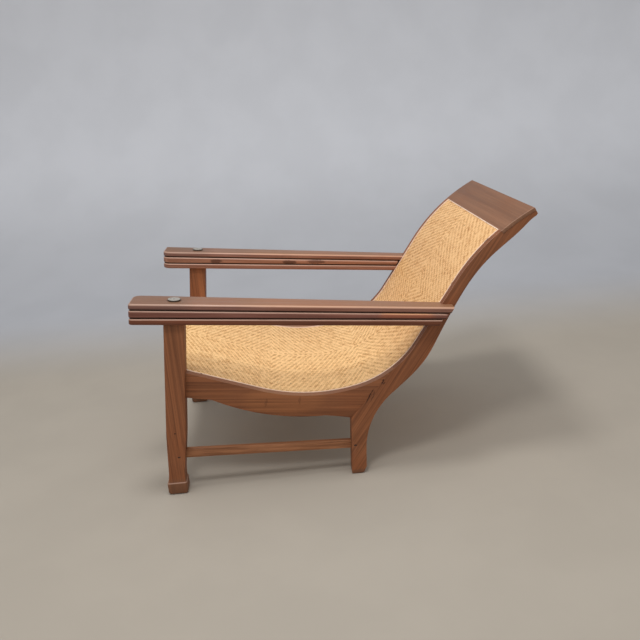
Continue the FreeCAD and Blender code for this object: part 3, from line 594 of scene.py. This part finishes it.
def seat_place(distance):
    """Y, Z and heading at a distance along the seat line."""
    (along, up), heading = SEAT_START, SEAT_HEADING
    for number, (length, turn) in enumerate(SEAT_RUNS):
        part = distance if number == len(SEAT_RUNS) - 1 else min(distance, length)
        bend = turn * part / length
        step = 2.0 * length / turn * math.sin(bend / 2.0) if turn else part
        along += step * math.cos(heading + bend / 2.0)
        up += step * math.sin(heading + bend / 2.0)
        heading += bend
        distance -= part
        if distance <= 0.0:
            break
    return along, up, heading


def mat_edge():
    """Distances along the seat line and the half widths of the mat's CAD solid there."""
    stations = np.linspace(0.0, MAT_CHART, MAT_STATIONS)
    line = np.array([seat_place(distance)[:2] for distance in stations])
    rows = {}
    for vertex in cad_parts["woven_mat"].data.vertices:
        if vertex.co.x > MAT_SIDE:
            gaps = np.hypot(line[:, 0] - vertex.co.y, line[:, 1] - vertex.co.z)
            rows.setdefault(round(stations[gaps.argmin()], 3), []).append(vertex.co.x)
    table = []
    for distance, widths in sorted(rows.items()):
        if max(widths) - min(widths) > MAT_STEP:
            table.append((distance - MAT_STEP_RUN, min(widths)))
        table.append((distance, max(widths)))
    return np.array(table).T


# Operators, one for each kind of piece

FOOT_FLATNESS = 0.0005
PEG_ARRIS = 0.0006
BEAD_ARRIS = 0.0008
SCREW_ARRIS = 0.0014
WASHER_ARRIS = 0.0004

# The arms' long edges: how level and how upright the faces beside them are, how far they lie
# from the bore, and which short edges at the rear belong to the notch round the stile

LEVEL = 0.97
UPRIGHT = 0.2
BORE_REACH = 0.02
NOTCH_REACH = 0.035
NOTCH_FROM = 0.25


def finish_colours():
    return bpy.context.scene.chair_finish


def edges():
    return bpy.context.scene.chair_edges


def outer_wood(name, heading, **looks):
    look = finish_colours()
    return wood(name, look.outer_dark, look.outer_light, heading, look.worn, **looks)


def foot_worn(piece):
    """Bevel the lowest edges of a leg."""
    low = min(vertex.co.z for vertex in piece.data.vertices)
    sole = low + FOOT_FLATNESS
    bevel_edges(piece, lambda edge: all(vertex.co.z < sole for vertex in edge.verts),
                edges().foot_wear, 4)


class Posts(bpy.types.Operator):
    """Front posts with their foot blocks"""

    bl_idname = "chair.posts"
    bl_label = "Front posts"

    def execute(self, context):
        for side, shift in zip(SIDES, (1.3, 2.9)):
            finish = outer_wood(f"post-{side}", UPWARDS, shift=shift, soil=0.055, ledge=0.07,
                                marks=POST_MARKS)
            dressed(f"front_post_{side}", finish, "outer_wood", edges().arris, shape=foot_worn)
        return {"FINISHED"}


class Stiles(bpy.types.Operator):
    """Rear legs and back uprights"""

    bl_idname = "chair.stiles"
    bl_label = "Stiles"

    def execute(self, context):
        for side, shift in zip(SIDES, (4.1, 5.7)):
            finish = outer_wood(f"stile-{side}", rearwards(-55.0), shift=shift, soil=0.016,
                                wear=1.0, wear_from=(0.05, 0.35), wear_above=0.31,
                                marks=JOINT_MARKS)
            dressed(f"stile_{side}", finish, "outer_wood", edges().arris, shape=foot_worn)
        return {"FINISHED"}


class Rails(bpy.types.Operator):
    """Seat side rails and the two cross rails"""

    bl_idname = "chair.rails"
    bl_label = "Rails"

    def execute(self, context):
        for side, shift in zip(SIDES, (7.3, 8.9)):
            finish = outer_wood(f"side-rail-{side}", rearwards(6.0), shift=shift, wear=0.5,
                                wear_from=(0.45, 0.75), top=RIM, marks=JOINT_MARKS + RAIL_MARKS)
            dressed(f"side_rail_{side}", finish, "outer_wood", edges().arris)
        cross = outer_wood("cross-rail", CROSSWISE, shift=10.1)
        for node in ("front_seat_rail", "back_cross_rail"):
            dressed(node, cross, "outer_wood", edges().arris)
        return {"FINISHED"}


class Stretchers(bpy.types.Operator):
    """Low side bars and the pegs through their tenons"""

    bl_idname = "chair.stretchers"
    bl_label = "Stretchers"

    def execute(self, context):
        look = finish_colours()
        for side, shift in zip(SIDES, (11.3, 12.9)):
            finish = wood(f"stretcher-{side}", look.stretcher_dark, look.stretcher_light,
                          rearwards(3.0), look.worn, shift=shift, wear=0.7, wear_from=(0.2, 0.6))
            dressed(f"side_stretcher_{side}", finish, "stretcher_wood", edges().arris)
        pegs = wood("pegs", *PEG_COLOURS, CROSSWISE, look.worn, wear=0.0)
        dressed("stretcher_pegs", pegs, "peg_wood", PEG_ARRIS)
        return {"FINISHED"}


class HeadPanel(bpy.types.Operator):
    """Bent plank across the head"""

    bl_idname = "chair.head_panel"
    bl_label = "Head panel"

    def execute(self, context):
        look = finish_colours()
        finish = wood("head-panel", look.panel_dark, look.panel_light, CROSSWISE, look.worn,
                      shift=14.2, wear=0.45)
        dressed("head_panel", finish, "panel_wood", edges().fine_arris)
        return {"FINISHED"}


class Arms(bpy.types.Operator):
    """Arm boards, swing-out leg rests and under rails"""

    bl_idname = "chair.arms"
    bl_label = "Arms"

    def execute(self, context):
        look = finish_colours()
        board = (look.board_dark, look.board_light, look.board_top)
        layers = (
            ("arm_board", "left", board, "frame", 15.1),
            ("leg_rest", "left", NEAR_LEAF, "leg_rest_left", 17.3),
            ("arm_under_rail", "left", NEAR_UNDER, "frame", 19.7),
            ("arm_board", "right", board, "frame", 16.0),
            ("leg_rest", "right", FAR_LEAF, "leg_rest_right", 18.2),
            ("arm_under_rail", "right", FAR_UNDER, "frame", 20.6),
        )
        # Strength of the painted shade in the groove above and below each layer
        groove_shades = {"arm_board": (0.0, 0.95), "leg_rest": (0.95, 0.95),
                   "arm_under_rail": (0.95, 0.0)}
        for layer, side, (dark, light, top), body, shift in layers:
            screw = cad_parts[f"pivot_screw_{side}"].data.vertices
            centre = [0.5 * (min(vertex.co[axis] for vertex in screw)
                             + max(vertex.co[axis] for vertex in screw)) for axis in (0, 1)]
            marks = ()
            arris = edges().arm_arris
            if layer == "arm_board":
                marks = (("XY", centre, *SCREW_STAIN), *BOARD_MARKS)
                arris = edges().board_arris
            elif layer == "leg_rest":
                marks = LEAF_MARKS if side == "left" else FAR_LEAF_MARKS

            def outline_rounded(piece, centre=centre, arris=arris):
                for up, width in ((1.0, arris), (-1.0, edges().under_arris)):
                    def outline(edge):
                        if len(edge.link_faces) != 2:
                            return False
                        flat, upright = sorted(edge.link_faces,
                                               key=lambda face: -up * face.normal.z)
                        middle = (edge.verts[0].co + edge.verts[1].co) / 2.0
                        from_bore = math.hypot(middle.x - centre[0], middle.y - centre[1])
                        in_notch = edge.calc_length() < NOTCH_REACH and middle.y > NOTCH_FROM
                        return (up * flat.normal.z > LEVEL and abs(upright.normal.z) < UPRIGHT
                                and from_bore > BORE_REACH and not in_notch)

                    bevel_edges(piece, outline, width, 4)

            finish = wood(f"{layer}-{side}".replace("_", "-"), dark, light, rearwards(6.04),
                          look.worn, shift=shift, gloss=0.40, wear=0.9, wear_from=(0.05, 0.30),
                          top=top, groove_shades=groove_shades[layer], marks=marks)
            dressed(f"{layer}_{side}", finish, "arm_wood", edges().fine_arris, body,
                    outline_rounded)
        return {"FINISHED"}


class Pivots(bpy.types.Operator):
    """Pivot screws and washers"""

    bl_idname = "chair.pivots"
    bl_label = "Pivots"

    def execute(self, context):
        finish = steel("pivot-steel")
        for side in SIDES:
            for node, arris in ((f"pivot_screw_{side}", SCREW_ARRIS),
                                (f"pivot_washers_{side}", WASHER_ARRIS)):
                piece = copied(node, node.replace("_", "-") + "-dressed")
                rounded(piece, arris, 3)
                smoothed(piece, 35.0)
                fitted(piece, finish, "frame", "screw_steel", node)
        return {"FINISHED"}


class Mat(bpy.types.Operator):
    """Woven cane seat and the beads along its edges"""

    bl_idname = "chair.mat"
    bl_label = "Cane mat"

    def execute(self, context):
        look = finish_colours()
        deselected()
        bpy.ops.mesh.primitive_grid_add(x_subdivisions=MAT_COLUMNS, y_subdivisions=MAT_ROWS,
                                        size=2.0)
        piece = bpy.context.active_object
        piece.name = piece.data.name = "cane-mat"
        stations, widths = mat_edge()
        first, last = MAT_ENDS
        places, chart, insets = [], [], []
        for vertex in piece.data.vertices:
            distance = first + (last - first) * (vertex.co.y + 1.0) / 2.0
            along, up, heading = seat_place(distance)
            reach = np.interp(distance, stations, widths)
            across = vertex.co.x * reach
            insets.append(reach - abs(across))
            places.append((across, along + MAT_DROP * math.sin(heading),
                           up - MAT_DROP * math.cos(heading)))
            chart.append(((across + MAT_CHART / 2.0) / MAT_CHART, distance / MAT_CHART))
        piece.data.vertices.foreach_set("co", np.array(places).ravel())
        piece.data.attributes.new("inset", "FLOAT", "POINT").data.foreach_set("value", insets)
        weave = piece.data.uv_layers[0]
        weave.name = "weave"
        corner_places = [chart[loop.vertex_index] for loop in piece.data.loops]
        weave.data.foreach_set("uv", np.array(corner_places).ravel())
        active(piece)
        bpy.ops.object.shade_smooth()
        thick = piece.modifiers.new("thickness", "SOLIDIFY")
        thick.thickness = MAT_THICKNESS
        thick.offset = -1.0
        bpy.ops.object.modifier_apply(modifier=thick.name)
        piece.data.update()
        finish = cane("woven-cane", look.cane_light, look.cane_dark, look.bead,
                      (look.long_strand, look.strand))
        fitted(piece, finish, "frame", "woven_cane", "woven_mat")
        bead = strip("cane-bead", look.bead, (0.16, 0.08, 0.05))
        for node in ("mat_bead_left", "mat_bead_right", "mat_bead_top", "mat_bead_front"):
            dressed(node, bead, "cane_bead", BEAD_ARRIS)
        return {"FINISHED"}


# The floor's square and where its middle lies, and how high and round it sweeps up at the back

FLOOR_SIZE = 16.0
FLOOR_MIDDLE = (4.8, 0.0, 0.0)
SWEEP_HEIGHT = 6.0
SWEEP_RADIUS = 1.7
FLOOR_FADE = (-1.7, -0.6)
SWEEP_FADE = (0.0, 0.8)

LAMPS = (("overhead", (0.55, -0.30, 3.2)), ("camera-side", (1.65, -0.30, 3.1)))
LAMP_SIZE = 0.6
LAMP_AIM = (0.0, 0.0, 0.4)

# The camera as solved from the photo: the focal length and the point where lines across the
# chair meet, in pixels from the middle of the photo, then the roll and the place

FOCAL_PIXELS = 720.0
MEETING_POINT = (-48.43, -228.09)
CAMERA_ROLL = math.radians(-4.2036)
CAMERA_PLACE = (2.24135, -0.129782, 1.10482)
SENSOR_WIDTH = 36.0


class Stage(bpy.types.Operator):
    """Floor, backdrop, lamps and camera"""

    bl_idname = "chair.stage"
    bl_label = "Stage"

    def execute(self, context):
        look = context.scene.chair_stage
        deselected()
        bpy.ops.mesh.primitive_plane_add(size=FLOOR_SIZE, location=FLOOR_MIDDLE)
        floor = bpy.context.active_object
        floor.name = "floor"
        bpy.ops.object.transform_apply(location=True, rotation=False, scale=False)
        bpy.ops.object.mode_set(mode="EDIT")
        bpy.ops.mesh.select_mode(type="EDGE")
        bpy.ops.mesh.select_all(action="DESELECT")
        shape = bmesh.from_edit_mesh(floor.data)
        far = min(vertex.co.x for vertex in shape.verts)
        for edge in shape.edges:
            edge.select_set(all(abs(vertex.co.x - far) < 0.001 for vertex in edge.verts))
        bmesh.update_edit_mesh(floor.data)
        bpy.ops.mesh.extrude_region_move(
            TRANSFORM_OT_translate={"value": (0.0, 0.0, SWEEP_HEIGHT)})
        bpy.ops.object.mode_set(mode="OBJECT")
        rounded(floor, SWEEP_RADIUS, 40)
        smoothed(floor)
        cloth = Shader("pale-floor")
        mottle = cloth.noise(cloth.place(), scale=3.0, detail=4.0)
        away, _, height = cloth.axes()
        distance = tuple(0.74 * part for part in look.backdrop)
        shade = cloth.mixed(away.over(*FLOOR_FADE), distance, look.floor)
        shade = cloth.mixed(height.over(*SWEEP_FADE), shade, look.backdrop)
        shade = cloth.mixed(mottle.over(0.35, 0.65), shade, (0.96, 0.96, 0.96), "MULTIPLY")
        finished(floor, cloth.finish(base_color=shade, roughness=0.9))

        for name, place in LAMPS:
            lamp = bpy.data.lights.new(name, "AREA")
            lamp.shape = "DISK"
            lamp.size = LAMP_SIZE
            lamp.energy = look.lamp
            holder = bpy.data.objects.new(name, lamp)
            context.scene.collection.objects.link(holder)
            holder.location = place
            aim = Vector(LAMP_AIM) - holder.location
            holder.rotation_euler = aim.to_track_quat("-Z", "Y").to_euler()
        sky = bpy.data.worlds.new("even-light")
        sky.use_nodes = True
        background = sky.node_tree.nodes["Background"]
        background.inputs["Color"].default_value = (1.0, 1.0, 1.0, 1.0)
        background.inputs["Strength"].default_value = look.sky
        context.scene.world = sky

        axis = Vector((*(part / FOCAL_PIXELS for part in MEETING_POINT), 1.0)).normalized()
        level = Vector((math.cos(CAMERA_ROLL), math.sin(CAMERA_ROLL), 0.0))
        up = axis.cross(level).normalized()
        if up.y > 0.0:
            up.negate()
        to_camera = Matrix((-axis, up.cross(-axis), up)).transposed()
        right, down, ahead = to_camera
        camera = bpy.data.cameras.new("photo-camera")
        camera.lens = look.lens
        camera.sensor_width = SENSOR_WIDTH
        viewer = bpy.data.objects.new("photo-camera", camera)
        context.scene.collection.objects.link(viewer)
        viewer.matrix_world = Matrix.Translation(CAMERA_PLACE) @ Matrix(
            (right, -down, -ahead)).transposed().to_4x4()
        context.scene.camera = viewer
        context.scene.view_settings.view_transform = "Standard"
        return {"FINISHED"}


SETTINGS = {"chair_finish": ChairFinish, "chair_edges": ChairEdges, "chair_stage": ChairStage}
PIECES = (Posts, Stiles, Rails, Stretchers, HeadPanel, Arms, Pivots, Mat, Stage)


class ChairSidebar(bpy.types.Panel):
    """Settings and steps of the planter's chair"""

    bl_idname = "CHAIR_PT_sidebar"
    bl_label = "Planter's chair"
    bl_space_type = "VIEW_3D"
    bl_region_type = "UI"
    bl_category = "Chair"

    def draw(self, context):
        for name in SETTINGS:
            group = getattr(context.scene, name)
            column = self.layout.column(align=True)
            for key in group.__annotations__:
                column.prop(group, key)
        for kind in PIECES:
            self.layout.operator(kind.bl_idname)


CLASSES = (*SETTINGS.values(), *PIECES, ChairSidebar)


def register():
    for kind in CLASSES:
        bpy.utils.register_class(kind)
    for name, kind in SETTINGS.items():
        setattr(bpy.types.Scene, name, bpy.props.PointerProperty(type=kind))


def unregister():
    for name in SETTINGS:
        delattr(bpy.types.Scene, name)
    for kind in reversed(CLASSES):
        bpy.utils.unregister_class(kind)


def main():
    register()
    for kind in PIECES:
        group, name = kind.bl_idname.split(".")
        getattr(getattr(bpy.ops, group), name)()


if __name__ == "__main__":
    main()
